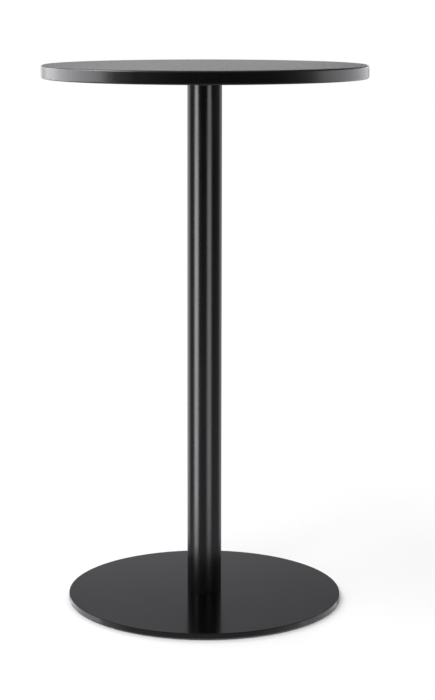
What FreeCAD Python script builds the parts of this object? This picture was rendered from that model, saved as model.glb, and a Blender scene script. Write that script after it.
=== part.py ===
"""A round bar-height pub table: a linoleum top on a steel column and a flat steel disc base.

Units are millimetres. The origin is on the floor under the middle of the column, and +Z is up.
Each piece of the table is a separate solid, written to parts/ under its own name.
"""

import FreeCAD, Part
import math
import os

# Overall sizes
TABLE_HEIGHT = 1000.0
TOP_DIAMETER = 600.0
COLUMN_DIAMETER = 63.5
BASE_DIAMETER = 508.0

# Table top: a board between a linoleum face and a balancing sheet, in a plastic edge band
LINOLEUM_THICKNESS = 2.0
CORE_THICKNESS = 22.0
BALANCE_SHEET_THICKNESS = 0.5
EDGE_BAND_THICKNESS = 4.4
EDGE_BAND_LAND = 0.4
BAND_GLUE_GAP = 0.15

# Column: a steel tube with a tapped plug in each end
COLUMN_WALL = 2.0
COLUMN_END_CHAMFER = 0.5
HEAD_PLUG_THICKNESS = 12.0
FOOT_PLUG_THICKNESS = 15.0
PLUG_CLEARANCE = 0.1
PLUG_EDGE_DISTANCE = 9.65

# Fixing plate between the column and the table top
TOP_PLATE_DIAMETER = 250.0
TOP_PLATE_THICKNESS = 5.0
TOP_PLATE_EDGE_DISTANCE = 20.0
TOP_PLATE_ROUND = 1.0

# Base disc
BASE_THICKNESS = 10.0
BASE_EDGE_ROUND = 1.2
BASE_UNDER_CHAMFER = 0.6
BASE_SKIN = 2.0

# Countersunk M8 screws that hold the column to the base and to the fixing plate
COLUMN_SCREW_COUNT = 4
COLUMN_SCREW_DIAMETER = 8.0
COLUMN_SCREW_HOLE_DIAMETER = 9.0
COUNTERSUNK_HEAD_DIAMETER = 16.0
COUNTERSUNK_HEAD_LAND = 0.4
COLUMN_SCREW_SOCKET = 5.0
COLUMN_SCREW_SOCKET_DEPTH = 3.0
HEAD_SCREW_LENGTH = 16.0
FOOT_SCREW_LENGTH = 20.0
COUNTERSINK_CLEARANCE = 0.1

# Button-head M6 screws, washers and inserts that hold the table top to the fixing plate
TOP_SCREW_COUNT = 6
TOP_SCREW_FIRST_ANGLE = 30.0
TOP_SCREW_DIAMETER = 6.0
TOP_SCREW_LENGTH = 16.0
TOP_SCREW_HOLE_DIAMETER = 6.6
BUTTON_HEAD_DIAMETER = 10.5
BUTTON_HEAD_HEIGHT = 3.3
BUTTON_HEAD_FLAT = 5.6
TOP_SCREW_SOCKET = 4.0
TOP_SCREW_SOCKET_DEPTH = 2.1
WASHER_DIAMETER = 12.0
WASHER_HOLE_DIAMETER = 6.4
WASHER_THICKNESS = 1.6
INSERT_DIAMETER = 10.0
INSERT_LENGTH = 13.0
INSERT_CLEARANCE = 0.05
INSERT_POCKET_SPARE = 2.0
INSERT_GROOVE_DEPTH = 0.8
INSERT_GROOVE_WIDTH = 1.2
INSERT_GROOVE_PITCH = 3.0
INSERT_GROOVE_COUNT = 3

# Levelling glides: a nylon pad on the flange of a threaded steel stud
GLIDE_COUNT = 4
GLIDE_INSET = 42.0
GLIDE_FIRST_ANGLE = 45.0
GLIDE_THREAD_DIAMETER = 8.0
GLIDE_HOLE_SPARE = 0.5
STUD_FLANGE_DIAMETER = 16.0
STUD_FLANGE_THICKNESS = 1.2
STUD_TIP_CHAMFER = 0.8
STUD_SOCKET = 4.0
STUD_SOCKET_DEPTH = 3.5
PAD_DIAMETER = 28.0
PAD_FLOOR = 1.1
PAD_LIP = 0.5
PAD_LIP_REACH = 1.0
PAD_KEY_HOLE_DIAMETER = 6.0
PAD_EDGE_ROUND = 0.6
FLANGE_PLAY = 0.1

# Thread flanks are left out: a thread is a plain shank in a plain hole with this radial gap
THREAD_GAP = 0.05

# Heights, counted up from the floor
pad_pocket_high = PAD_FLOOR + STUD_FLANGE_THICKNESS + 2 * FLANGE_PLAY
pad_high = pad_pocket_high + PAD_LIP
base_low = pad_high
base_high = base_low + BASE_THICKNESS
linoleum_low = TABLE_HEIGHT - LINOLEUM_THICKNESS
core_low = linoleum_low - CORE_THICKNESS
sheet_low = core_low - BALANCE_SHEET_THICKNESS
top_plate_low = sheet_low - TOP_PLATE_THICKNESS

# Radii that several pieces share
top_radius = TOP_DIAMETER / 2
band_inner_radius = top_radius - EDGE_BAND_THICKNESS
layer_radius = band_inner_radius - BAND_GLUE_GAP
base_radius = BASE_DIAMETER / 2
column_radius = COLUMN_DIAMETER / 2
column_inner_radius = column_radius - COLUMN_WALL
plug_radius = column_inner_radius - PLUG_CLEARANCE
top_plate_radius = TOP_PLATE_DIAMETER / 2
tapped_column_radius = COLUMN_SCREW_DIAMETER / 2 + THREAD_GAP
stud_hole_radius = GLIDE_THREAD_DIAMETER / 2 + THREAD_GAP

# Depths that depend on what goes into the hole
stud_reach = BASE_THICKNESS - BASE_SKIN - GLIDE_HOLE_SPARE
top_screw_reach = TOP_SCREW_LENGTH - WASHER_THICKNESS - TOP_PLATE_THICKNESS - BALANCE_SHEET_THICKNESS
insert_pocket_depth = max(INSERT_LENGTH, top_screw_reach) + INSERT_POCKET_SPARE

UP = FreeCAD.Vector(0, 0, 1)
CENTRE = FreeCAD.Vector(0, 0, 0)


def circle_spots(count, radius, first_angle=0.0):
    """The (x, y) places of a ring of copies round the column."""
    angles = [math.radians(first_angle + 360.0 * i / count) for i in range(count)]
    return [(radius * math.cos(a), radius * math.sin(a)) for a in angles]


def rod(radius, low, high, spot=(0.0, 0.0)):
    """An upright cylinder between two heights."""
    return Part.makeCylinder(radius, high - low, FreeCAD.Vector(spot[0], spot[1], low))


def taper(low_radius, high_radius, low, high):
    """An upright cone between two heights, on the column's axis."""
    return Part.makeCone(low_radius, high_radius, high - low, FreeCAD.Vector(0, 0, low))


def hexagon(across_flats, low, high):
    """An upright hexagonal prism on the column's axis, for a hex key's socket."""
    corner = across_flats / math.sqrt(3)
    points = [FreeCAD.Vector(x, y, low) for x, y in circle_spots(6, corner)]
    outline = Part.makePolygon(points + points[:1])
    return Part.Face(outline).extrude(UP * (high - low))


def turned(outline):
    """A solid of revolution about the column's axis from a closed (radius, height) outline.

    An entry is a corner (r, z), or an arc from the corner before it: (middle r, z, end r, z).
    """
    corners = [FreeCAD.Vector(entry[-2], 0, entry[-1]) for entry in outline]
    edges = []
    for i, entry in enumerate(outline):
        start = corners[i - 1]
        if len(entry) == 4:
            middle = FreeCAD.Vector(entry[0], 0, entry[1])
            edges.append(Part.Arc(start, middle, corners[i]).toShape())
        else:
            edges.append(Part.LineSegment(start, corners[i]).toShape())
    return Part.Face(Part.Wire(edges)).revolve(CENTRE, UP, 360)


def quarter_round(radius, centre_r, centre_z, from_angle, to_angle):
    """The outline entry of an arc about (centre_r, centre_z), by its middle and its end."""
    entry = []
    for angle in ((from_angle + to_angle) / 2, to_angle):
        entry.append(centre_r + radius * math.cos(math.radians(angle)))
        entry.append(centre_z + radius * math.sin(math.radians(angle)))
    return tuple(entry)


def copies(shape, spots):
    """Copies of a shape that stands on the column's axis, moved to each spot."""
    return [shape.translated(FreeCAD.Vector(x, y, 0)) for x, y in spots]


def drilled(shape, tool, spots):
    """The shape with the tool cut out of it at each spot."""
    return shape.cut(copies(tool, spots))


def countersunk_screw(length, radial_gap=0.0, shank_radius=COLUMN_SCREW_DIAMETER / 2):
    """A countersunk screw's outer form, its head's flat face at height zero and its shank upwards."""
    head_radius = COUNTERSUNK_HEAD_DIAMETER / 2 + radial_gap
    cone_high = COUNTERSUNK_HEAD_LAND + head_radius - shank_radius
    land = rod(head_radius, 0, COUNTERSUNK_HEAD_LAND)
    cone = taper(head_radius, shank_radius, COUNTERSUNK_HEAD_LAND, cone_high)
    return land.fuse([cone, rod(shank_radius, cone_high, length)])


def column_screw(length):
    """One countersunk socket screw, head down."""
    socket = hexagon(COLUMN_SCREW_SOCKET, 0, COLUMN_SCREW_SOCKET_DEPTH)
    return countersunk_screw(length).cut(socket)


def column_screw_hole(thickness):
    """The tool for a countersunk clearance hole through a plate of that thickness, mouth at zero."""
    clearance_radius = COLUMN_SCREW_HOLE_DIAMETER / 2
    return countersunk_screw(thickness, COUNTERSINK_CLEARANCE, clearance_radius)


def upside_down(shape):
    """The shape turned over about the X axis."""
    return shape.rotated(CENTRE, FreeCAD.Vector(1, 0, 0), 180)


def raised(shape, height):
    """The shape lifted by that height."""
    return shape.translated(UP * height)


column_screw_spots = circle_spots(COLUMN_SCREW_COUNT, plug_radius - PLUG_EDGE_DISTANCE)
top_screw_ring = top_plate_radius - TOP_PLATE_EDGE_DISTANCE
top_screw_spots = circle_spots(TOP_SCREW_COUNT, top_screw_ring, TOP_SCREW_FIRST_ANGLE)
glide_spots = circle_spots(GLIDE_COUNT, base_radius - GLIDE_INSET, GLIDE_FIRST_ANGLE)


def linoleum_surface():
    """The linoleum sheet that is the table surface."""
    return rod(layer_radius, linoleum_low, TABLE_HEIGHT)


def tabletop_core():
    """The board, with blind pockets in its underside for the inserts."""
    pocket_radius = INSERT_DIAMETER / 2 + INSERT_CLEARANCE
    pocket = rod(pocket_radius, core_low, core_low + insert_pocket_depth)
    return drilled(rod(layer_radius, core_low, linoleum_low), pocket, top_screw_spots)


def balance_sheet():
    """The thin sheet that keeps the board flat, open at each insert."""
    opening = rod(INSERT_DIAMETER / 2 + INSERT_CLEARANCE, sheet_low, core_low)
    return drilled(rod(layer_radius, sheet_low, core_low), opening, top_screw_spots)


def edge_band():
    """The plastic band round the top, rounded on its two outer edges."""
    edge_round = EDGE_BAND_THICKNESS - EDGE_BAND_LAND
    round_centre = top_radius - edge_round
    return turned([
        (band_inner_radius, sheet_low),
        (round_centre, sheet_low),
        quarter_round(edge_round, round_centre, sheet_low + edge_round, -90, 0),
        (top_radius, TABLE_HEIGHT - edge_round),
        quarter_round(edge_round, round_centre, TABLE_HEIGHT - edge_round, 0, 90),
        (band_inner_radius, TABLE_HEIGHT),
    ])


def threaded_insert():
    """One grooved insert, its mouth level with the board's underside."""
    body = rod(INSERT_DIAMETER / 2, core_low, core_low + INSERT_LENGTH)
    grooves = []
    for i in range(INSERT_GROOVE_COUNT):
        groove_low = core_low + INSERT_GROOVE_PITCH * (i + 1)
        outside = rod(INSERT_DIAMETER, groove_low, groove_low + INSERT_GROOVE_WIDTH)
        inside = rod(INSERT_DIAMETER / 2 - INSERT_GROOVE_DEPTH, groove_low, groove_low + INSERT_GROOVE_WIDTH)
        grooves.append(outside.cut(inside))
    thread = rod(TOP_SCREW_DIAMETER / 2 + THREAD_GAP, core_low, core_low + INSERT_LENGTH)
    return body.cut(grooves + [thread])


def top_plate():
    """The fixing plate: clearance holes near its rim, countersunk holes over the column."""
    rim_centre = top_plate_radius - TOP_PLATE_ROUND
    plate = turned([
        (0, top_plate_low),
        (rim_centre, top_plate_low),
        quarter_round(TOP_PLATE_ROUND, rim_centre, top_plate_low + TOP_PLATE_ROUND, -90, 0),
        (top_plate_radius, sheet_low),
        (0, sheet_low),
    ])
    rim_hole = rod(TOP_SCREW_HOLE_DIAMETER / 2, top_plate_low, sheet_low)
    column_hole = raised(upside_down(column_screw_hole(TOP_PLATE_THICKNESS)), sheet_low)
    return drilled(drilled(plate, rim_hole, top_screw_spots), column_hole, column_screw_spots)


def top_plate_screw():
    """One button-head screw, up through the fixing plate into its insert."""
    seat = top_plate_low - WASHER_THICKNESS
    head_low = seat - BUTTON_HEAD_HEIGHT
    head_radius = BUTTON_HEAD_DIAMETER / 2
    flat_radius = BUTTON_HEAD_FLAT / 2
    dome_middle = ((head_radius + flat_radius) / 2 + BUTTON_HEAD_HEIGHT / 4, seat - BUTTON_HEAD_HEIGHT * 2 / 3)
    head = turned([
        (0, seat),
        (head_radius, seat),
        (*dome_middle, flat_radius, head_low),
        (0, head_low),
    ])
    shank = rod(TOP_SCREW_DIAMETER / 2, seat, seat + TOP_SCREW_LENGTH)
    socket = hexagon(TOP_SCREW_SOCKET, head_low, head_low + TOP_SCREW_SOCKET_DEPTH)
    return head.fuse(shank).cut(socket)


def top_plate_washer():
    """One flat washer under a button head."""
    washer_low = top_plate_low - WASHER_THICKNESS
    washer = rod(WASHER_DIAMETER / 2, washer_low, top_plate_low)
    return washer.cut(rod(WASHER_HOLE_DIAMETER / 2, washer_low, top_plate_low))


def column_tube():
    """The tube, with a fine chamfer on the outer edge of each end."""
    shoulder = column_radius - COLUMN_END_CHAMFER
    return turned([
        (column_inner_radius, base_high),
        (shoulder, base_high),
        (column_radius, base_high + COLUMN_END_CHAMFER),
        (column_radius, top_plate_low - COLUMN_END_CHAMFER),
        (shoulder, top_plate_low),
        (column_inner_radius, top_plate_low),
    ])


def column_head_plug():
    """The tapped plug in the tube's upper end, level with it."""
    plug = rod(plug_radius, top_plate_low - HEAD_PLUG_THICKNESS, top_plate_low)
    thread = rod(tapped_column_radius, top_plate_low - HEAD_PLUG_THICKNESS, top_plate_low)
    countersink = raised(upside_down(column_screw_hole(TOP_PLATE_THICKNESS)), sheet_low)
    return drilled(drilled(plug, thread, column_screw_spots), countersink, column_screw_spots)


def column_foot_plug():
    """The tapped plug in the tube's lower end, level with it."""
    plug = rod(plug_radius, base_high, base_high + FOOT_PLUG_THICKNESS)
    thread = rod(tapped_column_radius, base_high, base_high + FOOT_PLUG_THICKNESS)
    countersink = raised(column_screw_hole(BASE_THICKNESS), base_low)
    return drilled(drilled(plug, thread, column_screw_spots), countersink, column_screw_spots)


def base_plate():
    """The disc that the table stands on, countersunk and tapped from below only."""
    rim_centre = base_radius - BASE_EDGE_ROUND
    disc = turned([
        (0, base_low),
        (base_radius - BASE_UNDER_CHAMFER, base_low),
        (base_radius, base_low + BASE_UNDER_CHAMFER),
        (base_radius, base_high - BASE_EDGE_ROUND),
        quarter_round(BASE_EDGE_ROUND, rim_centre, base_high - BASE_EDGE_ROUND, 0, 90),
        (0, base_high),
    ])
    column_hole = raised(column_screw_hole(BASE_THICKNESS), base_low)
    glide_hole = rod(stud_hole_radius, base_low, base_low + stud_reach + GLIDE_HOLE_SPARE)
    return drilled(drilled(disc, column_hole, column_screw_spots), glide_hole, glide_spots)


def glide_pad():
    """One nylon pad: a pocket under a lip for the stud's flange, and a hole for the hex key."""
    pad_radius = PAD_DIAMETER / 2
    pocket_radius = STUD_FLANGE_DIAMETER / 2 + FLANGE_PLAY
    mouth_radius = STUD_FLANGE_DIAMETER / 2 - PAD_LIP_REACH
    key_radius = PAD_KEY_HOLE_DIAMETER / 2
    round_centre = pad_radius - PAD_EDGE_ROUND
    return turned([
        (key_radius, 0),
        (round_centre, 0),
        quarter_round(PAD_EDGE_ROUND, round_centre, PAD_EDGE_ROUND, -90, 0),
        (pad_radius, pad_high),
        (mouth_radius, pad_high),
        (mouth_radius, pad_pocket_high),
        (pocket_radius, pad_pocket_high),
        (pocket_radius, PAD_FLOOR),
        (key_radius, PAD_FLOOR),
    ])


def glide_stud():
    """One threaded stud, with a flange that turns in its pad and a socket for a hex key."""
    flange_low = PAD_FLOOR + FLANGE_PLAY
    flange_high = flange_low + STUD_FLANGE_THICKNESS
    shank_radius = GLIDE_THREAD_DIAMETER / 2
    tip = base_low + stud_reach
    stud = turned([
        (0, flange_low),
        (STUD_FLANGE_DIAMETER / 2, flange_low),
        (STUD_FLANGE_DIAMETER / 2, flange_high),
        (shank_radius, flange_high),
        (shank_radius, tip - STUD_TIP_CHAMFER),
        (shank_radius - STUD_TIP_CHAMFER, tip),
        (0, tip),
    ])
    return stud.cut(hexagon(STUD_SOCKET, flange_low, flange_low + STUD_SOCKET_DEPTH))


def table_pieces():
    """Every piece of the table by name. Like fasteners are one group of separate solids."""
    head_screw = raised(upside_down(column_screw(HEAD_SCREW_LENGTH)), sheet_low)
    foot_screw = raised(column_screw(FOOT_SCREW_LENGTH), base_low)
    pieces = {
        "linoleum_surface": [linoleum_surface()],
        "tabletop_core": [tabletop_core()],
        "balance_sheet": [balance_sheet()],
        "edge_band": [edge_band()],
        "threaded_inserts": copies(threaded_insert(), top_screw_spots),
        "top_plate": [top_plate()],
        "top_plate_screws": copies(top_plate_screw(), top_screw_spots),
        "top_plate_washers": copies(top_plate_washer(), top_screw_spots),
        "column_tube": [column_tube()],
        "column_head_plug": [column_head_plug()],
        "column_foot_plug": [column_foot_plug()],
        "column_head_screws": copies(head_screw, column_screw_spots),
        "column_foot_screws": copies(foot_screw, column_screw_spots),
        "base_plate": [base_plate()],
    }
    pads = copies(glide_pad(), glide_spots)
    studs = copies(glide_stud(), glide_spots)
    for number, (pad, stud) in enumerate(zip(pads, studs), start=1):
        pieces[f"glide_pad_{number}"] = [pad]
        pieces[f"glide_stud_{number}"] = [stud]
    return pieces


def main():
    os.makedirs("parts", exist_ok=True)
    for name, solids in table_pieces().items():
        shape = solids[0] if len(solids) == 1 else Part.makeCompound(solids)
        shape.exportStep(f"parts/{name}.step")
        print(f"{name}: {len(shape.Solids)} solid(s), {shape.Volume / 1000:.2f} cm3")


main()
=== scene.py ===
import bmesh
import bpy
import math
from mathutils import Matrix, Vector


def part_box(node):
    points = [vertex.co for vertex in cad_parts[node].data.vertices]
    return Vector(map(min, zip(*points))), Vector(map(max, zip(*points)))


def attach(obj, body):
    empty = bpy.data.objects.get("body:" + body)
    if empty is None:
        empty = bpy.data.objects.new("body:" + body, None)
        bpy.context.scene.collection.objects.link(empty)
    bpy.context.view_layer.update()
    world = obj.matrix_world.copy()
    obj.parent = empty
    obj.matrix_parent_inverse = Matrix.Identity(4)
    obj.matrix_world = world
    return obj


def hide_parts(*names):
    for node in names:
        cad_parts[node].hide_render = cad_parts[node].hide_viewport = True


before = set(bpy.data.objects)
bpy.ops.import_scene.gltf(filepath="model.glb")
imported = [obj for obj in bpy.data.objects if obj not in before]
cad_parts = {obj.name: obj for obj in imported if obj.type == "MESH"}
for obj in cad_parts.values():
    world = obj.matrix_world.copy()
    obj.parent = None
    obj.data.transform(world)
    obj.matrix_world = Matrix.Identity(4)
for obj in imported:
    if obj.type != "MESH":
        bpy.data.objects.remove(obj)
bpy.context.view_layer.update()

mm = 0.001
tiny = 0.02 * mm  # how far a picked edge may lie from where it is looked for
mergeWithin = 0.001 * mm  # points nearer to each other than this become one
overshoot = 1 * mm  # how far a cutter stands past the face that it cuts
levelNormal = 0.99  # a face is level if this much of its normal points up or down
smoothAngle = 32  # degrees; an edge that bends more stays sharp


# Selecting and editing by hand

def deselectAll():
    bpy.ops.object.select_all(action='DESELECT')


def selectOnly(piece):
    deselectAll()
    piece.select_set(True)
    bpy.context.view_layer.objects.active = piece


def nameNew(name):  # names what was just made, and puts its place, turn and size into its mesh
    piece = bpy.context.active_object
    piece.name = name
    piece.data.name = name
    selectOnly(piece)
    bpy.ops.object.transform_apply(location=True, rotation=True, scale=True)
    return piece


def addCylinder(name, radius, low, high, sides, spot=(0, 0), caps='NGON'):
    deselectAll()
    bpy.ops.mesh.primitive_cylinder_add(
        vertices=sides, radius=radius, depth=high - low, end_fill_type=caps,
        location=(spot[0], spot[1], (low + high) / 2))
    return nameNew(name)


def addBox(name, size, middle, turn):
    deselectAll()
    bpy.ops.mesh.primitive_cube_add(size=1, location=middle, rotation=(0, 0, turn), scale=size)
    return nameNew(name)


def startEdit(piece):
    selectOnly(piece)
    bpy.ops.object.mode_set(mode='EDIT')


def endEdit():
    bpy.ops.object.mode_set(mode='OBJECT')


def pick(piece, kind, test):  # kind is EDGE or FACE
    bpy.ops.mesh.select_mode(type=kind)
    bpy.ops.mesh.select_all(action='DESELECT')
    shape = bmesh.from_edit_mesh(piece.data)
    for item in shape.edges if kind == 'EDGE' else shape.faces:
        if test(item):
            item.select_set(True)
    bmesh.update_edit_mesh(piece.data, loop_triangles=False, destructive=False)


def reach(point):  # distance from the upright axis through the origin
    return math.hypot(point.x, point.y)


def rim(height, radius):  # the edges of a level circle
    def onCircle(point):
        return abs(point.z - height) < tiny and abs(reach(point) - radius) < tiny

    def test(edge):
        return all(onCircle(v.co) for v in edge.verts)
    return test


def flat(height):  # the level faces at one height
    def test(face):
        return abs(face.normal.z) > levelNormal and abs(face.calc_center_median().z - height) < tiny
    return test


def flatInside(height, radius):  # the level faces at one height that lie within a radius
    def test(face):
        return flat(height)(face) and all(reach(v.co) < radius + tiny for v in face.verts)
    return test


def roundRim(piece, height, radius, size, steps):
    pick(piece, 'EDGE', rim(height, radius))
    bpy.ops.mesh.bevel(offset=size, offset_type='OFFSET', segments=steps,
                       affect='EDGES', clamp_overlap=False)


def holdFlat(piece, height, width):  # a narrow ring that keeps a round's shading off the flat face
    pick(piece, 'FACE', flat(height))
    bpy.ops.mesh.inset(thickness=width, depth=0)


def extrudeUp(height):
    bpy.ops.mesh.extrude_region_move(TRANSFORM_OT_translate={"value": (0, 0, height)})


def spread(ratio, height):  # widens what is selected about the axis
    bpy.ops.transform.resize(value=(ratio, ratio, 1), center_override=(0, 0, height))


def useModifier(piece, kind, **values):
    selectOnly(piece)
    bpy.ops.object.modifier_add(type=kind)
    modifier = piece.modifiers[-1]
    for key, value in values.items():
        setattr(modifier, key, value)
    bpy.ops.object.modifier_apply(modifier=modifier.name)


def thicken(piece, wall):  # inwards from the outer face
    useModifier(piece, 'SOLIDIFY', thickness=wall, offset=-1, use_even_offset=True, use_rim=True)


def joinAll(pieces, name):
    selectOnly(pieces[0])
    for piece in pieces:
        piece.select_set(True)
    if len(pieces) > 1:
        bpy.ops.object.join()
    return nameNew(name)


def cutOut(piece, cutters):
    tool = joinAll(cutters, "cutter")
    useModifier(piece, 'BOOLEAN', operation='DIFFERENCE', solver='EXACT', object=tool)
    bpy.data.objects.remove(tool)


# A copy with its own mesh at each spot; the model itself goes
def copyTo(piece, spots, name, turns=None):
    made = []
    for number, spot in enumerate(spots):
        selectOnly(piece)
        bpy.ops.object.duplicate(linked=False)
        twin = bpy.context.active_object
        twin.location = (spot[0], spot[1], 0)
        twin.rotation_euler = (0, 0, math.radians(turns[number]) if turns else 0)
        made.append(nameNew(name + str(number + 1)))
    bpy.data.objects.remove(piece)
    return made


def ringSpots(count, radius, firstAngle=0.0):
    angles = [math.radians(firstAngle + 360 * i / count) for i in range(count)]
    return [(radius * math.cos(a), radius * math.sin(a)) for a in angles]


def dress(piece, settings, finish):  # smooth shading, finish and place in the frame
    selectOnly(piece)
    bpy.ops.object.shade_smooth_by_angle(angle=math.radians(smoothAngle))
    useModifier(piece, 'WEIGHTED_NORMAL', keep_sharp=True)  # the flat faces keep their own shading
    piece.data.materials.clear()
    piece.data.materials.append(finish)
    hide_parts(settings["node"])
    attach(piece, settings["body"])
    print("piece:", piece.name, len(piece.data.polygons), "faces, for", settings["node"])
    return piece


# Node helpers for the finishes. In the settings a noise is (scale, detail, roughness).

noiseSpan = (0.3, 0.7)  # where most values of a noise lie
cellSoftness = 0.6
greyBlue = 1.04  # greys lean a little to blue


def newFinish(name):
    finish = bpy.data.materials.new(name)
    finish.use_nodes = True
    tree = finish.node_tree
    coords = tree.nodes.new('ShaderNodeTexCoord')
    return finish, tree, tree.nodes['Principled BSDF'], coords.outputs['Object']


def noise(tree, place, scale, detail=2.0, roughness=0.5):
    node = tree.nodes.new('ShaderNodeTexNoise')
    node.inputs['Scale'].default_value = scale
    node.inputs['Detail'].default_value = detail
    node.inputs['Roughness'].default_value = roughness
    tree.links.new(place, node.inputs['Vector'])
    return node.outputs['Fac']


def drawnNoise(tree, place, scales, detail, roughness=0.5):  # drawn out along some axes
    node = tree.nodes.new('ShaderNodeMapping')
    node.inputs['Scale'].default_value = scales
    tree.links.new(place, node.inputs['Vector'])
    return noise(tree, node.outputs['Vector'], 1, detail, roughness)


def cells(tree, place, scale):
    node = tree.nodes.new('ShaderNodeTexVoronoi')
    node.feature = 'SMOOTH_F1'
    node.inputs['Scale'].default_value = scale
    node.inputs['Smoothness'].default_value = cellSoftness
    tree.links.new(place, node.inputs['Vector'])
    return node.outputs['Distance']


def colours(tree, amount, stops):  # stops are (position, (r, g, b))
    node = tree.nodes.new('ShaderNodeValToRGB')
    ramp = node.color_ramp
    while len(ramp.elements) < len(stops):
        ramp.elements.new(0.5)  # anywhere; the next lines place it
    for element, (position, colour) in zip(ramp.elements, stops):
        element.position = position
        element.color = (*colour, 1)
    tree.links.new(amount, node.inputs['Fac'])
    return node.outputs['Color']


def span(tree, amount, fromLow, fromHigh, toLow, toHigh):
    node = tree.nodes.new('ShaderNodeMapRange')
    limits = {'From Min': fromLow, 'From Max': fromHigh, 'To Min': toLow, 'To Max': toHigh}
    for socket, value in limits.items():
        node.inputs[socket].default_value = value
    tree.links.new(amount, node.inputs['Value'])
    return node.outputs['Result']


def maths(tree, operation, first, second):
    node = tree.nodes.new('ShaderNodeMath')
    node.operation = operation
    for socket, value in zip(node.inputs, (first, second)):
        if isinstance(value, (int, float)):
            socket.default_value = value
        else:
            tree.links.new(value, socket)
    return node.outputs['Value']


def bump(tree, height, depth, below=None):
    node = tree.nodes.new('ShaderNodeBump')
    node.inputs['Strength'].default_value = 1
    node.inputs['Distance'].default_value = depth
    tree.links.new(height, node.inputs['Height'])
    if below:
        tree.links.new(below, node.inputs['Normal'])
    return node.outputs['Normal']


def grey(level):
    return (level, level, level * greyBlue)


def shades(tree, amount, s, stops=noiseSpan):  # from a finish's dark to its light
    return colours(tree, amount, [(stops[0], grey(s["dark"])), (stops[1], grey(s["light"]))])


def roughSpan(tree, amount, s):
    return span(tree, amount, *noiseSpan, s["roughLow"], s["roughHigh"])


def connect(tree, shader, colour, rough, normal):
    for socket, source in (('Base Color', colour), ('Roughness', rough), ('Normal', normal)):
        tree.links.new(source, shader.inputs[socket])


# Powder coat: black, smooth, with a faint orange peel

powderPattern = {"speck": (1400, 3), "speckStops": (0.35, 0.68), "cloud": (14, 3), "peel": (300, 1.5),
                 "grain": (2600, 1), "grainDepth": 0.0015 * mm}

powderSettings = {
    "column": {"dark": 0.003, "light": 0.005, "roughLow": 0.20, "roughHigh": 0.25,
               "peelDepth": 0.002 * mm},
    "base": {"dark": 0.001, "light": 0.002, "roughLow": 0.12, "roughHigh": 0.16,
             "peelDepth": 0.006 * mm,
             "underside": (3.1 * mm, 3.6 * mm), "underRough": 0.40, "underCloud": 0.04},
    "plate": {"dark": 0.003, "light": 0.005, "roughLow": 0.22, "roughHigh": 0.28,
              "peelDepth": 0.012 * mm},
}


def makePowderCoat(name, s, pattern):
    finish, tree, shader, place = newFinish(name)
    speck = noise(tree, place, *pattern["speck"])
    cloud = noise(tree, place, *pattern["cloud"])
    peel = noise(tree, place, *pattern["peel"])
    grain = noise(tree, place, *pattern["grain"])
    shade = shades(tree, speck, s, pattern["speckStops"])
    rough = roughSpan(tree, cloud, s)
    if "underside" in s:  # the coat is thin and dull where nobody looks
        parts = tree.nodes.new('ShaderNodeSeparateXYZ')
        tree.links.new(place, parts.inputs[0])
        dull = span(tree, parts.outputs['Z'], *s["underside"], s["underRough"], 0)
        dull = maths(tree, 'ADD', dull, maths(tree, 'MULTIPLY', cloud, s["underCloud"]))
        rough = maths(tree, 'MAXIMUM', rough, dull)
    fine = bump(tree, grain, pattern["grainDepth"])
    connect(tree, shader, shade, rough, bump(tree, peel, s["peelDepth"], fine))
    return finish


columnCoat = makePowderCoat("powderCoatColumn", powderSettings["column"], powderPattern)
baseCoat = makePowderCoat("powderCoatBase", powderSettings["base"], powderPattern)
plateCoat = makePowderCoat("powderCoatPlate", powderSettings["plate"], powderPattern)


# Linoleum: matt charcoal, softly mottled, with a fine pressed surface

linoleumSettings = {"dark": 0.016, "light": 0.027, "shadeStops": (0.36, 0.52, 0.66),
                    "mottle": (26, 4, 0.6), "mottleShare": 0.35,
                    "fleck": (420, 5, 0.62), "fleckShare": 0.65, "fleckDepth": 0.006 * mm,
                    "cloud": (90, 3), "roughLow": 0.40, "roughHigh": 0.48,
                    "pressScale": 1500, "pressDepth": 0.004 * mm}


def makeLinoleum(name, s):
    finish, tree, shader, place = newFinish(name)
    mottle = noise(tree, place, *s["mottle"])
    fleck = noise(tree, place, *s["fleck"])
    both = maths(tree, 'ADD', maths(tree, 'MULTIPLY', mottle, s["mottleShare"]),
                 maths(tree, 'MULTIPLY', fleck, s["fleckShare"]))
    levels = (s["dark"], (s["dark"] + s["light"]) / 2, s["light"])
    shade = colours(tree, both, [(stop, grey(level)) for stop, level in zip(s["shadeStops"], levels)])
    rough = roughSpan(tree, noise(tree, place, *s["cloud"]), s)
    pressed = bump(tree, cells(tree, place, s["pressScale"]), s["pressDepth"])
    connect(tree, shader, shade, rough, bump(tree, fleck, s["fleckDepth"], pressed))
    return finish


linoleumFinish = makeLinoleum("linoleumCharcoal", linoleumSettings)


# Edge band: satin black plastic with fine lines from drawing

edgingSettings = {"dark": 0.0012, "light": 0.003, "roughLow": 0.25, "roughHigh": 0.31,
                  "cloud": (40, 3), "lines": ((6, 6, 1800), 2), "lineDepth": 0.002 * mm,
                  "grain": (1700, 2), "grainDepth": 0.0015 * mm}


def makeEdging(name, s):
    finish, tree, shader, place = newFinish(name)
    lines = drawnNoise(tree, place, *s["lines"])
    grain = noise(tree, place, *s["grain"])
    rough = roughSpan(tree, noise(tree, place, *s["cloud"]), s)
    drawn = bump(tree, lines, s["lineDepth"])
    connect(tree, shader, shades(tree, grain, s), rough, bump(tree, grain, s["grainDepth"], drawn))
    return finish


edgingFinish = makeEdging("edgingSatin", edgingSettings)


# Balancing sheet: thin black laminate, pebbled

laminateSettings = {"dark": 0.010, "light": 0.018, "roughLow": 0.42, "roughHigh": 0.52,
                    "cloud": (30, 4), "pebbleScale": 850, "pebbleDepth": 0.02 * mm}


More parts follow.
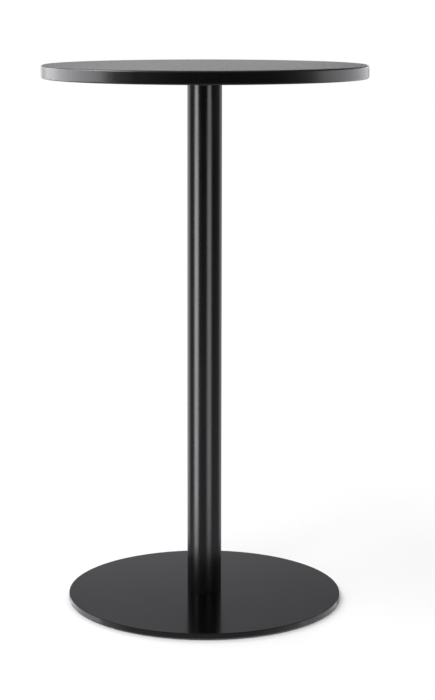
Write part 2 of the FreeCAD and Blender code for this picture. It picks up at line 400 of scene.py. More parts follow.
def makeLaminate(name, s):
    finish, tree, shader, place = newFinish(name)
    pebble = cells(tree, place, s["pebbleScale"])
    cloud = noise(tree, place, *s["cloud"])
    rough = span(tree, cloud, *noiseSpan, s["roughHigh"], s["roughLow"])  # duller where it is darker
    connect(tree, shader, shades(tree, cloud, s), rough, bump(tree, pebble, s["pebbleDepth"]))
    return finish


laminateFinish = makeLaminate("balanceLaminate", laminateSettings)


# Fibreboard: raw brown board, only seen when the top is taken apart

fibreboardSettings = {"shades": [(0.25, (0.17, 0.105, 0.055)), (0.55, (0.27, 0.175, 0.095)),
                                 (0.8, (0.36, 0.25, 0.145))],
                      "fibre": ((260, 420, 2200), 5, 0.65), "fibreSpan": (0.2, 0.8),
                      "fibreDepth": 0.05 * mm, "roughLow": 0.78, "roughHigh": 0.92}


def makeFibreboard(name, s):
    finish, tree, shader, place = newFinish(name)
    fibre = drawnNoise(tree, place, *s["fibre"])
    rough = span(tree, fibre, *s["fibreSpan"], s["roughLow"], s["roughHigh"])
    connect(tree, shader, colours(tree, fibre, s["shades"]), rough, bump(tree, fibre, s["fibreDepth"]))
    return finish


fibreboardFinish = makeFibreboard("fibreboard", fibreboardSettings)


# Steels: turned plugs, bright zinc plate and black oxide

steelCloud = (120, 3)
steelSettings = {
    "bareSteel": {"dark": (0.40, 0.39, 0.38), "light": (0.56, 0.55, 0.53),
                  "roughLow": 0.28, "roughHigh": 0.42, "metallic": 1.0,
                  "marks": ((900, 900, 40), 3), "markDepth": 0.004 * mm},
    "zincPlate": {"dark": (0.50, 0.51, 0.53), "light": (0.66, 0.67, 0.69),
                  "roughLow": 0.22, "roughHigh": 0.38, "metallic": 1.0,
                  "marks": ((700, 700, 700), 3), "markDepth": 0.003 * mm},
    "blackOxide": {"dark": (0.018, 0.018, 0.019), "light": (0.040, 0.040, 0.042),
                   "roughLow": 0.30, "roughHigh": 0.44, "metallic": 0.6,
                   "marks": ((900, 900, 900), 3), "markDepth": 0.003 * mm},
}


def makeSteel(name, s):
    finish, tree, shader, place = newFinish(name)
    marks = drawnNoise(tree, place, *s["marks"])
    cloud = noise(tree, place, *steelCloud)
    shade = colours(tree, cloud, list(zip(noiseSpan, (s["dark"], s["light"]))))
    connect(tree, shader, shade, roughSpan(tree, marks, s), bump(tree, marks, s["markDepth"]))
    shader.inputs['Metallic'].default_value = s["metallic"]
    return finish


bareSteel = makeSteel("bareSteelTurned", steelSettings["bareSteel"])
zincPlate = makeSteel("zincPlate", steelSettings["zincPlate"])
blackOxide = makeSteel("blackOxide", steelSettings["blackOxide"])


# Nylon of the glide pads: black, moulded, scuffed on the floor face

nylonSettings = {"dark": 0.012, "light": 0.030, "shadeStops": (0.42, 0.72),
                 "roughLow": 0.42, "roughHigh": 0.62, "scuff": ((90, 700, 90), 4, 0.6),
                 "spark": (1600, 2), "sparkDepth": 0.012 * mm}


def makeNylon(name, s):
    finish, tree, shader, place = newFinish(name)
    spark = noise(tree, place, *s["spark"])
    scuff = drawnNoise(tree, place, *s["scuff"])
    shade = shades(tree, scuff, s, s["shadeStops"])
    connect(tree, shader, shade, roughSpan(tree, scuff, s), bump(tree, spark, s["sparkDepth"]))
    return finish


nylonFinish = makeNylon("glideNylon", nylonSettings)
print("finishes:", len(bpy.data.materials))


# Table surface: the linoleum sheet with a barely eased edge

surfaceSettings = {"node": "linoleum_surface", "slot": "linoleum", "body": "table",
                   "sides": 256, "easedEdge": 0.25 * mm, "easedSteps": 3, "flatRing": 1.5 * mm}


def makeTopSurface(s):
    low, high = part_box(s["node"])
    radius = (high.x - low.x) / 2
    piece = addCylinder("topSurface", radius, low.z, high.z, s["sides"])
    startEdit(piece)
    roundRim(piece, high.z, radius, s["easedEdge"], s["easedSteps"])
    holdFlat(piece, high.z, s["flatRing"])
    endEdit()
    dress(piece, s, linoleumFinish)


makeTopSurface(surfaceSettings)


# Edge band: a ring rounded on its outer arrises, with its butt joint at the back

bandSettings = {"node": "edge_band", "slot": "edge_band", "body": "table",
                "sides": 256, "wall": 4.4 * mm, "round": 4 * mm, "roundSteps": 12,
                "jointWidth": 0.16 * mm, "jointDepth": 0.3 * mm}


def makeEdgeBand(s):
    low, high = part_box(s["node"])
    radius = (high.x - low.x) / 2
    backFrom = 0.9 * radius  # the cuts are made past this
    outerFrom = radius - 0.9 * s["wall"]  # the inner wall isn't sunk
    outwards = 0.05  # the least share of a normal that points to the back
    piece = addCylinder("edgeBand", radius, low.z, high.z, s["sides"], caps='NOTHING')
    thicken(piece, s["wall"])
    startEdit(piece)
    roundRim(piece, high.z, radius, s["round"], s["roundSteps"])
    roundRim(piece, low.z, radius, s["round"], s["roundSteps"])
    for side in (-0.5, 0.5):  # two cuts at the back, as far apart as the joint is wide
        pick(piece, 'FACE', lambda face: face.calc_center_median().y > backFrom)
        bpy.ops.mesh.bisect(plane_co=(side * s["jointWidth"], radius, high.z), plane_no=(1, 0, 0))

    def inJoint(face):
        middle = face.calc_center_median()
        between = abs(middle.x) < s["jointWidth"] / 2
        return middle.y > outerFrom and between and face.normal.y > outwards

    pick(piece, 'FACE', inJoint)
    bpy.ops.mesh.extrude_region_move(TRANSFORM_OT_translate={"value": (0, -s["jointDepth"], 0)})
    endEdit()
    return dress(piece, s, edgingFinish)


edgeBand = makeEdgeBand(bandSettings)


# Column: a tube with a fine chamfer at each end

columnSettings = {"node": "column_tube", "slot": "powder_coat", "body": "table",
                  "sides": 160, "wall": 2 * mm, "chamfer": 0.5 * mm, "chamferSteps": 2}


def makeColumn(s):
    low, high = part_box(s["node"])
    radius = (high.x - low.x) / 2
    piece = addCylinder("columnTube", radius, low.z, high.z, s["sides"], caps='NOTHING')
    thicken(piece, s["wall"])
    startEdit(piece)
    roundRim(piece, high.z, radius, s["chamfer"], s["chamferSteps"])
    roundRim(piece, low.z, radius, s["chamfer"], s["chamferSteps"])
    endEdit()
    return dress(piece, s, columnCoat)


columnTube = makeColumn(columnSettings)


# A countersunk form, for a screw or the cutter of its hole. Its shank goes up, or down where way is -1.
def addCountersunk(name, s, face, length, shank, gap=0.0, way=1):
    head = s["headRadius"] + gap
    land = face + way * s["headLand"]
    piece = addCylinder(name, head, min(face, land), max(face, land), s["sides"])
    startEdit(piece)
    pick(piece, 'FACE', flat(land))
    cone = head - shank  # as deep as it is wide
    bpy.ops.mesh.inset(thickness=cone * math.cos(math.pi / s["sides"]), depth=cone)
    extrudeUp(way * (length - s["headLand"] - head + shank))
    endEdit()
    return piece


# A ridge wound round a shank, for a visible thread. Depth and foot are in pitches, the crest in feet.

ridgeSettings = {"depth": 0.62, "foot": 0.9, "crest": 0.15, "corners": 4}


def addThread(outer, pitch, low, high, steps, ridge=ridgeSettings):
    depth = ridge["depth"] * pitch
    foot = ridge["foot"] * pitch
    middle = low + foot / 2
    deselectAll()
    bpy.ops.mesh.primitive_plane_add(size=1, location=(outer - depth / 2, 0, middle),
                                     rotation=(math.pi / 2, 0, 0))
    bpy.context.active_object.scale = (depth, foot, 1)
    thread = nameNew("thread")
    startEdit(thread)
    pick(thread, 'EDGE', lambda edge: all(v.co.x > outer - tiny for v in edge.verts))
    bpy.ops.transform.resize(value=(1, 1, ridge["crest"]), center_override=(outer, 0, middle))
    pick(thread, 'FACE', lambda face: True)
    bpy.ops.mesh.delete(type='ONLY_FACE')
    endEdit()
    turns = max(1, int((high - low) / pitch - ridge["foot"]))
    useModifier(thread, 'SCREW', axis='Z', angle=math.tau, screw_offset=pitch, iterations=turns,
                steps=steps, render_steps=steps)
    startEdit(thread)
    bpy.ops.mesh.select_all(action='SELECT')
    bpy.ops.mesh.remove_doubles(threshold=mergeWithin)
    bpy.ops.mesh.fill_holes(sides=ridge["corners"])
    bpy.ops.mesh.select_all(action='SELECT')
    bpy.ops.mesh.normals_make_consistent(inside=False)
    endEdit()
    return thread


def cutSocket(piece, s, low):  # a hexagon from below
    corner = s["socket"] / math.sqrt(3)
    cutOut(piece, [addCylinder("hexCutter", corner, low - overshoot, low + s["socketDepth"], sides=6)])


# Base disc: rounded upper edge, chamfered lower edge, screw and glide holes from below

footScrewSettings = {"node": "column_foot_screws", "slot": "black_screws", "body": "table",
                     "sides": 48, "count": 4, "headRadius": 8 * mm, "headLand": 0.4 * mm,
                     "headEase": 0.12 * mm, "shankRadius": 4 * mm, "coreRadius": 3.32 * mm,
                     "tipChamfer": 0.5 * mm, "pitch": 1.25 * mm, "threadSteps": 20,
                     "threadFrom": 8 * mm, "socket": 5 * mm, "socketDepth": 3 * mm,
                     "holeRadius": 4.5 * mm, "holeGap": 0.1 * mm, "turns": [12, 47, 23, 5]}

baseSettings = {"node": "base_plate", "slot": "powder_coat", "body": "table",
                "sides": 256, "round": 1.2 * mm, "roundSteps": 6, "chamfer": 0.6 * mm,
                "flatRing": 2 * mm, "glideHoleRadius": 4.05 * mm, "glideHoleDepth": 8 * mm,
                "cutterSides": 48}


def glideSpot(number):
    low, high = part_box("glide_pad_" + str(number))
    return ((low.x + high.x) / 2, (low.y + high.y) / 2)


glideSpots = [glideSpot(number) for number in (1, 2, 3, 4)]


def footScrewSpots(s):
    low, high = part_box(s["node"])
    return ringSpots(s["count"], (high.x - low.x) / 2 - s["headRadius"])


def makeBaseDisc(s, screw):
    low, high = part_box(s["node"])
    radius = (high.x - low.x) / 2
    piece = addCylinder("baseDisc", radius, low.z, high.z, s["sides"])
    startEdit(piece)
    roundRim(piece, high.z, radius, s["round"], s["roundSteps"])
    roundRim(piece, low.z, radius, s["chamfer"], steps=1)
    holdFlat(piece, high.z, s["flatRing"])
    holdFlat(piece, low.z, s["flatRing"])
    endEdit()
    through = high.z - low.z + overshoot
    model = addCountersunk("cutter", screw, low.z, through, screw["holeRadius"], screw["holeGap"])
    startEdit(model)
    pick(model, 'FACE', flat(low.z))  # the mouth is carried on below the disc
    extrudeUp(-overshoot)
    endEdit()
    cutters = copyTo(model, footScrewSpots(screw), "cutter")
    for spot in glideSpots:
        cutters.append(addCylinder("cutter", s["glideHoleRadius"], low.z - overshoot,
                                   low.z + s["glideHoleDepth"], s["cutterSides"], spot))
    cutOut(piece, cutters)
    return dress(piece, s, baseCoat)


baseDisc = makeBaseDisc(baseSettings, footScrewSettings)


# Screws that hold the column to the base, heads level with the underside

def makeFootScrews(s):
    low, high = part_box(s["node"])
    core = addCountersunk("footScrew", s, low.z, high.z - low.z, s["coreRadius"])
    startEdit(core)
    roundRim(core, high.z, s["coreRadius"], s["tipChamfer"], steps=1)
    roundRim(core, low.z, s["headRadius"], s["headEase"], steps=2)
    endEdit()
    cutSocket(core, s, low.z)
    thread = addThread(s["shankRadius"], s["pitch"], low.z + s["threadFrom"], high.z, s["threadSteps"])
    screw = joinAll([core, thread], "footScrew")
    screws = copyTo(screw, footScrewSpots(s), "footScrew", s["turns"])
    dress(joinAll(screws, "footScrews"), s, blackOxide)


makeFootScrews(footScrewSettings)


# Fixing plate under the top: rounded lower rim, clearance holes near it

plateSettings = {"node": "top_plate", "slot": "powder_coat", "body": "table",
                 "sides": 192, "round": 1 * mm, "roundSteps": 5, "flatRing": 1.5 * mm,
                 "holeRadius": 3.3 * mm, "cutterSides": 40, "columnHoleRing": 20 * mm}

plateScrewSettings = {"node": "top_plate_screws", "slot": "black_screws", "body": "table",
                      "sides": 48, "count": 6, "firstAngle": 30, "headRadius": 5.25 * mm,
                      "headHeight": 3.3 * mm, "headEase": 0.15 * mm, "dome": 2.3 * mm,
                      "domeSteps": 9, "coreRadius": 2.45 * mm, "shankRadius": 3 * mm,
                      "pitch": 1 * mm, "threadSteps": 18, "threadFrom": 1.5 * mm,
                      "socket": 4 * mm, "socketDepth": 2.1 * mm, "turns": [8, 31, 55, 19, 2, 40]}


def plateScrewSpots(s):
    low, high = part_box(s["node"])
    return ringSpots(s["count"], (high.y - low.y) / 2 - s["headRadius"], s["firstAngle"])


def makeFixingPlate(s, rimScrew, columnScrew):
    low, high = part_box(s["node"])
    radius = (high.x - low.x) / 2
    piece = addCylinder("fixingPlate", radius, low.z, high.z, s["sides"])
    startEdit(piece)
    roundRim(piece, low.z, radius, s["round"], s["roundSteps"])
    holdFlat(piece, low.z, s["flatRing"])
    endEdit()
    through = high.z - low.z + overshoot
    model = addCountersunk("cutter", columnScrew, high.z, through, columnScrew["holeRadius"],
                           columnScrew["holeGap"], way=-1)
    startEdit(model)
    pick(model, 'FACE', flat(high.z))  # the mouth is carried on above the plate
    extrudeUp(overshoot)
    endEdit()
    cutters = copyTo(model, ringSpots(columnScrew["count"], s["columnHoleRing"]), "cutter")
    for spot in plateScrewSpots(rimScrew):
        cutters.append(addCylinder("cutter", s["holeRadius"], low.z - overshoot, high.z + overshoot,
                                   s["cutterSides"], spot))
    cutOut(piece, cutters)
    dress(piece, s, plateCoat)


makeFixingPlate(plateSettings, plateScrewSettings, footScrewSettings)


# Button-head screws up through the plate, with a domed head and a hex socket

def makePlateScrews(s):
    low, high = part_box(s["node"])
    seat = low.z + s["headHeight"]
    core = addCylinder("plateScrew", s["headRadius"], low.z, seat, s["sides"])
    startEdit(core)
    pick(core, 'FACE', flat(seat))
    bpy.ops.mesh.inset(thickness=s["headRadius"] - s["coreRadius"], depth=0)
    extrudeUp(high.z - seat)
    roundRim(core, low.z, s["headRadius"], s["dome"], s["domeSteps"])
    roundRim(core, seat, s["headRadius"], s["headEase"], steps=2)
    endEdit()
    cutSocket(core, s, low.z)
    thread = addThread(s["shankRadius"], s["pitch"], seat + s["threadFrom"], high.z, s["threadSteps"])
    screw = joinAll([core, thread], "plateScrew")
    screws = copyTo(screw, plateScrewSpots(s), "plateScrew", s["turns"])
    dress(joinAll(screws, "plateScrews"), s, blackOxide)


makePlateScrews(plateScrewSettings)


# Washers under the button heads

washerSettings = {"node": "top_plate_washers", "slot": "black_screws", "body": "table",
                  "sides": 48, "radius": 6 * mm, "holeRadius": 3.2 * mm, "easedEdge": 0.2 * mm}


def makeWashers(s, screw):
    low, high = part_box(s["node"])
    washer = addCylinder("washer", s["radius"], low.z, high.z, s["sides"], caps='NOTHING')
    thicken(washer, s["radius"] - s["holeRadius"])
    startEdit(washer)
    for height in (low.z, high.z):
        roundRim(washer, height, s["radius"], s["easedEdge"], steps=2)
    endEdit()
    washers = copyTo(washer, plateScrewSpots(screw), "washer")
    dress(joinAll(washers, "plateWashers"), s, blackOxide)


makeWashers(washerSettings, plateScrewSettings)


# Glide pads: a moulded foot with a ring groove below, and a slit lip over the stud's flange

padSettings = {"slot": "glide_nylon", "sides": 96, "edgeRound": 0.6 * mm, "roundSteps": 5,
               "topEase": 0.25 * mm, "floorRim": 2.4 * mm, "grooveWidth": 1.1 * mm,
               "grooveDepth": 0.3 * mm, "keyRadius": 3 * mm, "pocketRadius": 8.1 * mm,
               "mouthRadius": 7 * mm, "pocketLow": 1.1 * mm, "pocketHigh": 2.5 * mm,
               "slitCount": 4, "slitWidth": 0.9 * mm, "slitReach": 9.4 * mm,
               "slitHeight": 1.2 * mm, "slitLift": 0.35 * mm, "turns": [0, 38, 71, 17]}


def makeGlidePads(s):
    low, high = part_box("glide_pad_1")
    radius = (high.x - low.x) / 2
    pad = addCylinder("glidePad", radius, low.z, high.z, s["sides"])
    startEdit(pad)
    roundRim(pad, low.z, radius, s["edgeRound"], s["roundSteps"])
    roundRim(pad, high.z, radius, s["topEase"], steps=2)
    holdFlat(pad, low.z, s["floorRim"])
    grooveOuter = radius - s["edgeRound"] - s["floorRim"]
    pick(pad, 'FACE', flatInside(low.z, grooveOuter))
    bpy.ops.mesh.inset(thickness=s["grooveWidth"], depth=0)
    pick(pad, 'FACE', lambda face: flatInside(low.z, grooveOuter)(face)
         and reach(face.calc_center_median()) > grooveOuter - s["grooveWidth"])
    extrudeUp(s["grooveDepth"])
    endEdit()
    tool = addCylinder("cutter", s["keyRadius"], low.z - overshoot, s["pocketLow"], s["sides"])
    startEdit(tool)
    pick(tool, 'FACE', flat(s["pocketLow"]))
    extrudeUp(0)
    spread(s["pocketRadius"] / s["keyRadius"], s["pocketLow"])
    extrudeUp(s["pocketHigh"] - s["pocketLow"])
    extrudeUp(0)
    spread(s["mouthRadius"] / s["pocketRadius"], s["pocketHigh"])
    extrudeUp(high.z - s["pocketHigh"] + overshoot)
    endEdit()
    cutOut(pad, [tool])
    slits = []
    slitFrom = s["mouthRadius"] - overshoot
    slitSize = (s["slitReach"] - slitFrom, s["slitWidth"], s["slitHeight"])
    for spot in ringSpots(s["slitCount"], (slitFrom + s["slitReach"]) / 2):
        slits.append(addBox("cutter", slitSize, (*spot, s["pocketHigh"] + s["slitLift"]),
                            math.atan2(spot[1], spot[0])))
    cutOut(pad, slits)
    pads = copyTo(pad, glideSpots, "glidePad", s["turns"])
    for number, piece in enumerate(pads, 1):
        own = {"node": "glide_pad_" + str(number), "body": "pad_" + str(number)}
        dress(piece, {**s, **own}, nylonFinish)


makeGlidePads(padSettings)


# Glide studs: a flange, a threaded shank and a hex socket from below

studSettings = {"slot": "zinc_steel", "sides": 64, "flangeRadius": 8 * mm, "flangeHeight": 1.2 * mm,
                "flangeEase": 0.15 * mm, "coreRadius": 3.32 * mm, "threadRadius": 4 * mm,
                "pitch": 1.25 * mm, "threadSteps": 32, "threadFrom": 0.2 * mm, "tipChamfer": 0.5 * mm,
                "socket": 4 * mm, "socketDepth": 3.5 * mm, "turns": [10, 200, 95, 300]}


def makeGlideStuds(s):
    low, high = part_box("glide_stud_1")
    flangeHigh = low.z + s["flangeHeight"]
    stud = addCylinder("glideStud", s["flangeRadius"], low.z, flangeHigh, s["sides"])
    startEdit(stud)
    pick(stud, 'FACE', flat(flangeHigh))
    extrudeUp(0)
    spread(s["coreRadius"] / s["flangeRadius"], flangeHigh)
    extrudeUp(high.z - flangeHigh)
    roundRim(stud, high.z, s["coreRadius"], s["tipChamfer"], steps=1)
    for height in (low.z, flangeHigh):
        roundRim(stud, height, s["flangeRadius"], s["flangeEase"], steps=2)
    endEdit()
    cutSocket(stud, s, low.z)
    thread = addThread(s["threadRadius"], s["pitch"], flangeHigh + s["threadFrom"],
                       high.z - s["tipChamfer"], s["threadSteps"])
    studs = copyTo(joinAll([stud, thread], "glideStud"), glideSpots, "glideStud", s["turns"])
    for number, piece in enumerate(studs, 1):
        own = {"node": "glide_stud_" + str(number), "body": "stud_" + str(number)}
        dress(piece, {**s, **own}, zincPlate)


makeGlideStuds(studSettings)


# The CAD nodes whose shape is right as it is, with their finishes

keptNodes = {
    "tabletop_core": fibreboardFinish,
    "balance_sheet": laminateFinish,
    "threaded_inserts": zincPlate,
    "column_head_plug": bareSteel,
    "column_foot_plug": bareSteel,
    "column_head_screws": zincPlate,
}

for node, finish in keptNodes.items():
    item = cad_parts[node]
    item.data.materials.clear()
    item.data.materials.append(finish)
print("kept CAD nodes:", len(keptNodes))


# Helpers for the floor, the studio wall, the lamps and the world

def newStageFinish(name):  # an empty tree with its output; it isn't sampled as a lamp
    finish = bpy.data.materials.new(name)
    finish.use_nodes = True
    finish.cycles.emission_sampling = 'NONE'
    tree = finish.node_tree
    tree.nodes.clear()
    output = tree.nodes.new('ShaderNodeOutputMaterial')
    coords = tree.nodes.new('ShaderNodeTexCoord')
    return finish, tree, output.inputs['Surface'], coords.outputs['Object']


def mixed(tree, amount, first, second):  # one shader or another
    node = tree.nodes.new('ShaderNodeMixShader')
    for socket, source in zip(node.inputs, (amount, first, second)):
        tree.links.new(source, socket)
    return node.outputs[0]


def plain(level):
    return (level, level, level, 1)


def hideFrom(piece, *rays):
    for ray in rays:
        setattr(piece, "visible_" + ray, False)


# Floor: white, keeps the shadow near the table, plain white further out

floorSettings = {"size": 160.0, "albedo": 0.82, "cameraAlbedo": 0.96, "lift": 0.02,
                 "shadowTo": 0.55, "plainFrom": 1.0}


def makeFloor(s):
    deselectAll()
    bpy.ops.mesh.primitive_plane_add(size=s["size"], location=(0, 0, 0))
    floor = nameNew("floor")
    finish, tree, surface, place = newStageFinish("floorWhite")
    path = tree.nodes.new('ShaderNodeLightPath')
    face = tree.nodes.new('ShaderNodeNewGeometry')
    radius = tree.nodes.new('ShaderNodeVectorMath')
    radius.operation = 'LENGTH'
    tree.links.new(place, radius.inputs[0])
    away = span(tree, radius.outputs['Value'], s["shadowTo"], s["plainFrom"], 0, 1)
    lit = tree.nodes.new('ShaderNodeBsdfDiffuse')
    lit.inputs['Color'].default_value = plain(s["cameraAlbedo"])
    bounce = tree.nodes.new('ShaderNodeBsdfDiffuse')
    bounce.inputs['Color'].default_value = plain(s["albedo"])
    lift = tree.nodes.new('ShaderNodeEmission')
    lift.inputs['Strength'].default_value = s["lift"]
    white = tree.nodes.new('ShaderNodeEmission')
    clear = tree.nodes.new('ShaderNodeBsdfTransparent')
    shadowed = tree.nodes.new('ShaderNodeAddShader')
    tree.links.new(lit.outputs[0], shadowed.inputs[0])
    tree.links.new(lift.outputs[0], shadowed.inputs[1])
    seen = mixed(tree, away, shadowed.outputs[0], white.outputs[0])
    front = mixed(tree, path.outputs['Is Camera Ray'], bounce.outputs[0], seen)
    both = mixed(tree, face.outputs['Backfacing'], front, clear.outputs[0])  # clear from below
    tree.links.new(both, surface)
    floor.data.materials.append(finish)
    hideFrom(floor, "glossy")  # polished pieces show the studio wall instead


makeFloor(floorSettings)


# Studio wall: what the gloss of the table shows, in zones by height that fade into each other.
# Each zone has levels by azimuth: 0 is the camera's side and 90 the right.

wallSettings = {
    "radius": 1.6, "low": -3.0, "high": 4.0, "sides": 96, "strength": 2.0,
    "tint": (1.0, 0.985, 1.05), "skyTint": (1.0, 1.0, 1.01),
    "sky": [(-180, 1.0), (-168, 1.65), (-155, 1.6), (-138, 1.1), (-120, 1.0), (-60, 0.5), (0, 0.15),
            (60, 0.15), (120, 0.3), (155, 0.6)],
    "horizon": [(-180, 1.15), (-174, 1.15), (-168, 0.6), (-160, 0.5), (-145, 0.6), (-120, 1.0),
                (-60, 0.5), (0, 0.15), (60, 0.15), (120, 0.3), (150, 0.34), (164, 0.42), (170, 1.25)],
    "upper": [(-180, 1.0), (-168, 1.3), (-150, 1.1), (-120, 0.95), (-90, 0.8), (-68, 1.0), (-58, 0.8),
              (-47, 0.2), (0, 0.02), (42, 0.08), (52, 0.3), (65, 1.0), (78, 1.1), (95, 0.8),
              (130, 0.95), (148, 1.5), (163, 1.95), (174, 1.15)],
    "middle": [(-170, 0.32), (-155, 0.25), (-104, 0.25), (-60, 0.10), (-32, 0.05), (0, 0.025),
               (68, 0.05), (85, 0.12), (110, 0.2), (155, 0.22), (170, 0.27)],
    "lower": [(-180, 0.85), (-166, 0.7), (-150, 0.22), (-104, 0.3), (-60, 0.4), (0, 0.36),
              (50, 0.34), (85, 0.38), (110, 0.3), (150, 0.22), (166, 0.6)],
    "floor": [(-180, 0.3), (-146, 0.3), (-112, 0.4), (-102, 0.7), (-92, 1.2), (-73, 0.95),
              (-62, 0.55), (-30, 0.45), (0, 0.4), (40, 0.45), (57, 0.7), (72, 0.95), (80, 0.9),
              (92, 0.5), (104, 0.4), (146, 0.3)],
    "deep": [(-180, 0.45), (-90, 0.5), (-50, 0.1), (0, 0.05), (50, 0.1), (90, 0.45)],
    "skyFrom": (1.5, 1.65), "horizonFrom": (1.15, 1.22), "upperFrom": (0.96, 1.02),
    "middleFrom": (-0.25, 0.55), "lowerFrom": (-0.42, -0.38), "floorFrom": (-0.70, -0.60),
}

frontOnTurn = 0.25  # where the camera's side lies on the gradient's turn from 0 to 1
mixA, mixB, mixResult = 6, 7, 2  # the sockets of a Mix node that are colours


def wallLevels(tree, around, stops, strength, tint):
    placed = sorted(((frontOnTurn + azimuth / 360) % 1, level / strength) for azimuth, level in stops)
    first, last = placed[0], placed[-1]
    share = (1 - last[0]) / (first[0] + 1 - last[0])  # the level where the turn closes
    seam = last[1] + (first[1] - last[1]) * share
    placed = [(0.0, seam)] + [p for p in placed if 0 < p[0] < 1] + [(1.0, seam)]
    tinted = [(position, tuple(level * part for part in tint)) for position, level in placed]
    return colours(tree, around, tinted)


def blendLevels(tree, height, limits, below, above):
    node = tree.nodes.new('ShaderNodeMix')
    node.data_type = 'RGBA'
    tree.links.new(span(tree, height, limits[0], limits[1], 0, 1), node.inputs[0])
    tree.links.new(below, node.inputs[mixA])
    tree.links.new(above, node.inputs[mixB])
    return node.outputs[mixResult]


def makeStudioWall(s):
    wall = addCylinder("studioWall", s["radius"], s["low"], s["high"], s["sides"], caps='NOTHING')
    finish, tree, surface, place = newStageFinish("studioGlow")
    around = tree.nodes.new('ShaderNodeTexGradient')
    around.gradient_type = 'RADIAL'
    tree.links.new(place, around.inputs['Vector'])
    axes = tree.nodes.new('ShaderNodeSeparateXYZ')
    tree.links.new(place, axes.inputs[0])
    levels = {}
    for zone in ("sky", "horizon", "upper", "middle", "lower", "floor", "deep"):
        tint = s["skyTint"] if zone in ("sky", "horizon", "upper") else s["tint"]
        levels[zone] = wallLevels(tree, around.outputs['Fac'], s[zone], s["strength"], tint)
    glow = levels["deep"]
    for zone in ("floor", "lower", "middle", "upper", "horizon", "sky"):
        glow = blendLevels(tree, axes.outputs['Z'], s[zone + "From"], glow, levels[zone])
    emission = tree.nodes.new('ShaderNodeEmission')
    emission.inputs['Strength'].default_value = s["strength"]
    tree.links.new(glow, emission.inputs['Color'])
    tree.links.new(emission.outputs[0], surface)
    wall.data.materials.append(finish)
    hideFrom(wall, "camera", "diffuse", "transmission", "shadow", "volume_scatter")


makeStudioWall(wallSettings)
print("studio: floor and wall")


# Lamps: four large soft ones, and softboxes that each show in the gloss of one piece

lampColour = (1, 1, 1)
lampSettings = {
    "frontLamp": {"place": (-0.8, -3.0, 3.0), "aim": (0, 0, 0), "size": (2.4, 1.6), "watts": 76},
    "backLamp": {"place": (-0.3, 2.4, 2.0), "aim": (0, 0, 0), "size": (3.4, 2.2), "watts": 52},
    "leftLamp": {"place": (-2.2, -0.8, 2.6), "aim": (0, 0, 0.1), "size": (2.6, 1.6), "watts": 17},
    "highLamp": {"place": (-1.3, -0.9, 3.2), "aim": (0, 0, 0), "size": (1.2, 1.2), "watts": 12},
}

boxColour = (1.0, 0.99, 1.03)
boxSettings = {  # tilt is upwards, and spread is the beam left by the box's grid, both in degrees
    "leftStrip": {"on": columnTube, "azimuth": -56.5, "distance": 1.5, "width": 0.80,
                  "low": -0.30, "high": 1.15, "tilt": 8, "spread": 54, "watts": 2.7},
    "rightStrip": {"on": columnTube, "azimuth": 31, "distance": 1.5, "width": 0.80,
                   "low": -0.30, "high": 1.15, "tilt": 8, "spread": 54, "watts": 1.18},
    "leftRimStrip": {"on": columnTube, "azimuth": -134, "distance": 1.35, "width": 1.20,
                     "low": -0.27, "high": 1.15, "tilt": 8, "spread": 54, "watts": 0.70},
    "rightRimStrip": {"on": columnTube, "azimuth": 134, "distance": 1.35, "width": 1.20,
                      "low": -0.27, "high": 1.15, "tilt": 8, "spread": 54, "watts": 0.36},
    "leftSoftbox": {"on": edgeBand, "azimuth": -101.5, "distance": 1.24, "width": 1.77,
                    "low": 0.2, "high": 1.4, "tilt": 0, "spread": 160, "watts": 19.6},
    "leftBackBox": {"on": edgeBand, "azimuth": -160, "distance": 1.4, "width": 0.8,
                    "low": 0.5, "high": 1.08, "tilt": 0, "spread": 160, "watts": 2.0},
    "leftHighBox": {"on": edgeBand, "azimuth": -80, "distance": 1.3, "width": 1.1,
                    "low": 1.45, "high": 2.75, "tilt": 0, "spread": 160, "watts": 31},
    "rightSoftbox": {"on": edgeBand, "azimuth": 113, "distance": 1.21, "width": 1.83,
                     "low": 0.2, "high": 1.18, "tilt": 0, "spread": 160, "watts": 7.2},
    "leftLowBox": {"on": baseDisc, "azimuth": -122, "distance": 1.3, "width": 1.6,
                   "low": -0.75, "high": -0.25, "tilt": 0, "spread": 160, "watts": 2.3},
    "rightLowBox": {"on": baseDisc, "azimuth": 112, "distance": 1.3, "width": 1.6,
                    "low": -0.75, "high": -0.25, "tilt": 0, "spread": 160, "watts": 1.4},
}


def addLamp(name, place, aim, size, watts, colour):
    deselectAll()
    bpy.ops.object.light_add(type='AREA', location=place)
    lamp = bpy.context.active_object
    lamp.name = name
    lamp.data.name = name
    lamp.data.shape = 'RECTANGLE'
    lamp.data.size, lamp.data.size_y = size
    lamp.data.energy = watts
    lamp.data.color = colour
    toward = tuple(a - p for a, p in zip(aim, place))
    tilt = math.atan2(math.hypot(toward[0], toward[1]), -toward[2])  # untilted, it shines straight down
    lamp.rotation_euler = (tilt, 0, math.atan2(toward[1], toward[0]) - math.pi / 2)
    hideFrom(lamp, "camera")
    return lamp


for name, s in lampSettings.items():
    lamp = addLamp(name, s["place"], s["aim"], s["size"], s["watts"], lampColour)
    hideFrom(lamp, "glossy")  # what the gloss shows of them is on the studio wall


# A card just below the floor keeps the column's strips off its foot

flagSettings = {"radius": 0.41, "height": -5 * mm, "sides": 128}


def makeFlag(s):
    deselectAll()
    bpy.ops.mesh.primitive_circle_add(vertices=s["sides"], radius=s["radius"], fill_type='NGON',
                                      location=(0, 0, s["height"]))
    flag = nameNew("stripFlag")
    hideFrom(flag, "camera", "diffuse", "glossy", "transmission", "volume_scatter")
    return flag


stripFlag = makeFlag(flagSettings)


# The softboxes, each with the piece that shows it and what may stand in its light

def groupOf(name, *pieces):
    group = bpy.data.collections.new(name)
    for piece in pieces:
        group.objects.link(piece)
    return group


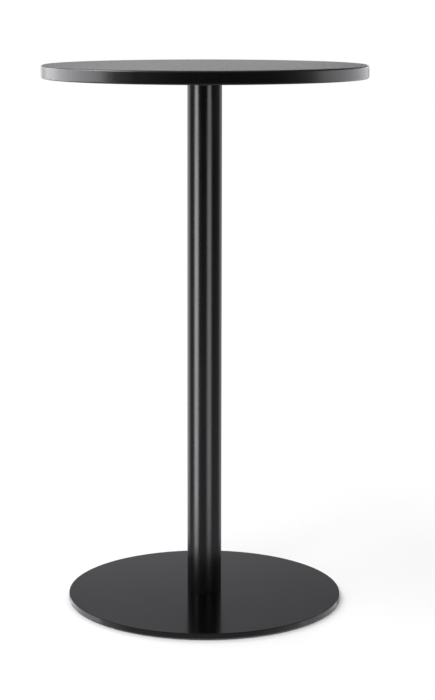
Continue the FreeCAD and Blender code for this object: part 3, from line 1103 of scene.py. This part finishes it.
stripBlockers = groupOf("stripBlockers", baseDisc, stripFlag)
shownOn = {}
for piece in (columnTube, edgeBand, baseDisc):
    shownOn[piece.name] = groupOf(piece.name + "Only", piece)

for name, s in boxSettings.items():
    angle = math.radians(s["azimuth"] - 90)
    middle = (s["low"] + s["high"]) / 2
    place = (s["distance"] * math.cos(angle), s["distance"] * math.sin(angle), middle)
    aim = (0, 0, middle + s["distance"] * math.tan(math.radians(s["tilt"])))
    box = addLamp(name, place, aim, (s["width"], s["high"] - s["low"]), s["watts"], boxColour)
    box.data.spread = math.radians(s["spread"])
    hideFrom(box, "diffuse")
    onColumn = s["on"] == columnTube
    box.light_linking.receiver_collection = shownOn[s["on"].name]
    box.light_linking.blocker_collection = stripBlockers if onColumn else shownOn[baseDisc.name]
print("lamps:", len(lampSettings) + len(boxSettings))


# World: white for the camera and for gloss, a plain fill for the rest

worldSettings = {"white": 1.0, "fill": 0.40}


def makeWorld(s):
    world = bpy.data.worlds.new("studioWorld")
    bpy.context.scene.world = world
    world.use_nodes = True
    tree = world.node_tree
    tree.nodes.clear()
    output = tree.nodes.new('ShaderNodeOutputWorld')
    path = tree.nodes.new('ShaderNodeLightPath')
    light = {}
    for kind in ("fill", "white"):
        node = tree.nodes.new('ShaderNodeBackground')
        node.inputs['Color'].default_value = plain(1)
        node.inputs['Strength'].default_value = s[kind]
        light[kind] = node.outputs[0]
    shown = maths(tree, 'MAXIMUM', path.outputs['Is Camera Ray'], path.outputs['Is Glossy Ray'])
    shown = maths(tree, 'MAXIMUM', shown, path.outputs['Is Transmission Ray'])
    tree.links.new(mixed(tree, shown, light["fill"], light["white"]), output.inputs['Surface'])


makeWorld(worldSettings)


# Camera: a long lens a little above the table top, looking slightly down

cameraSettings = {"place": (-0.030, -3.4823, 1.1187), "pitch": 6.3333, "yaw": 0.0344, "lens": 97.68,
                  "shiftX": 0.04, "shiftY": -0.20, "clipEnd": 400}


def makeCamera(s):
    deselectAll()
    bpy.ops.object.camera_add(location=s["place"],
                              rotation=(math.radians(90 - s["pitch"]), 0, math.radians(-s["yaw"])))
    camera = bpy.context.active_object
    camera.name = "photoCamera"
    camera.data.lens = s["lens"]
    camera.data.shift_x = s["shiftX"]
    camera.data.shift_y = s["shiftY"]
    camera.data.clip_end = s["clipEnd"]
    bpy.context.scene.camera = camera
    print("camera:", camera.name, "with a lens of", s["lens"], "mm")


makeCamera(cameraSettings)
bpy.context.scene.view_settings.view_transform = 'Standard'
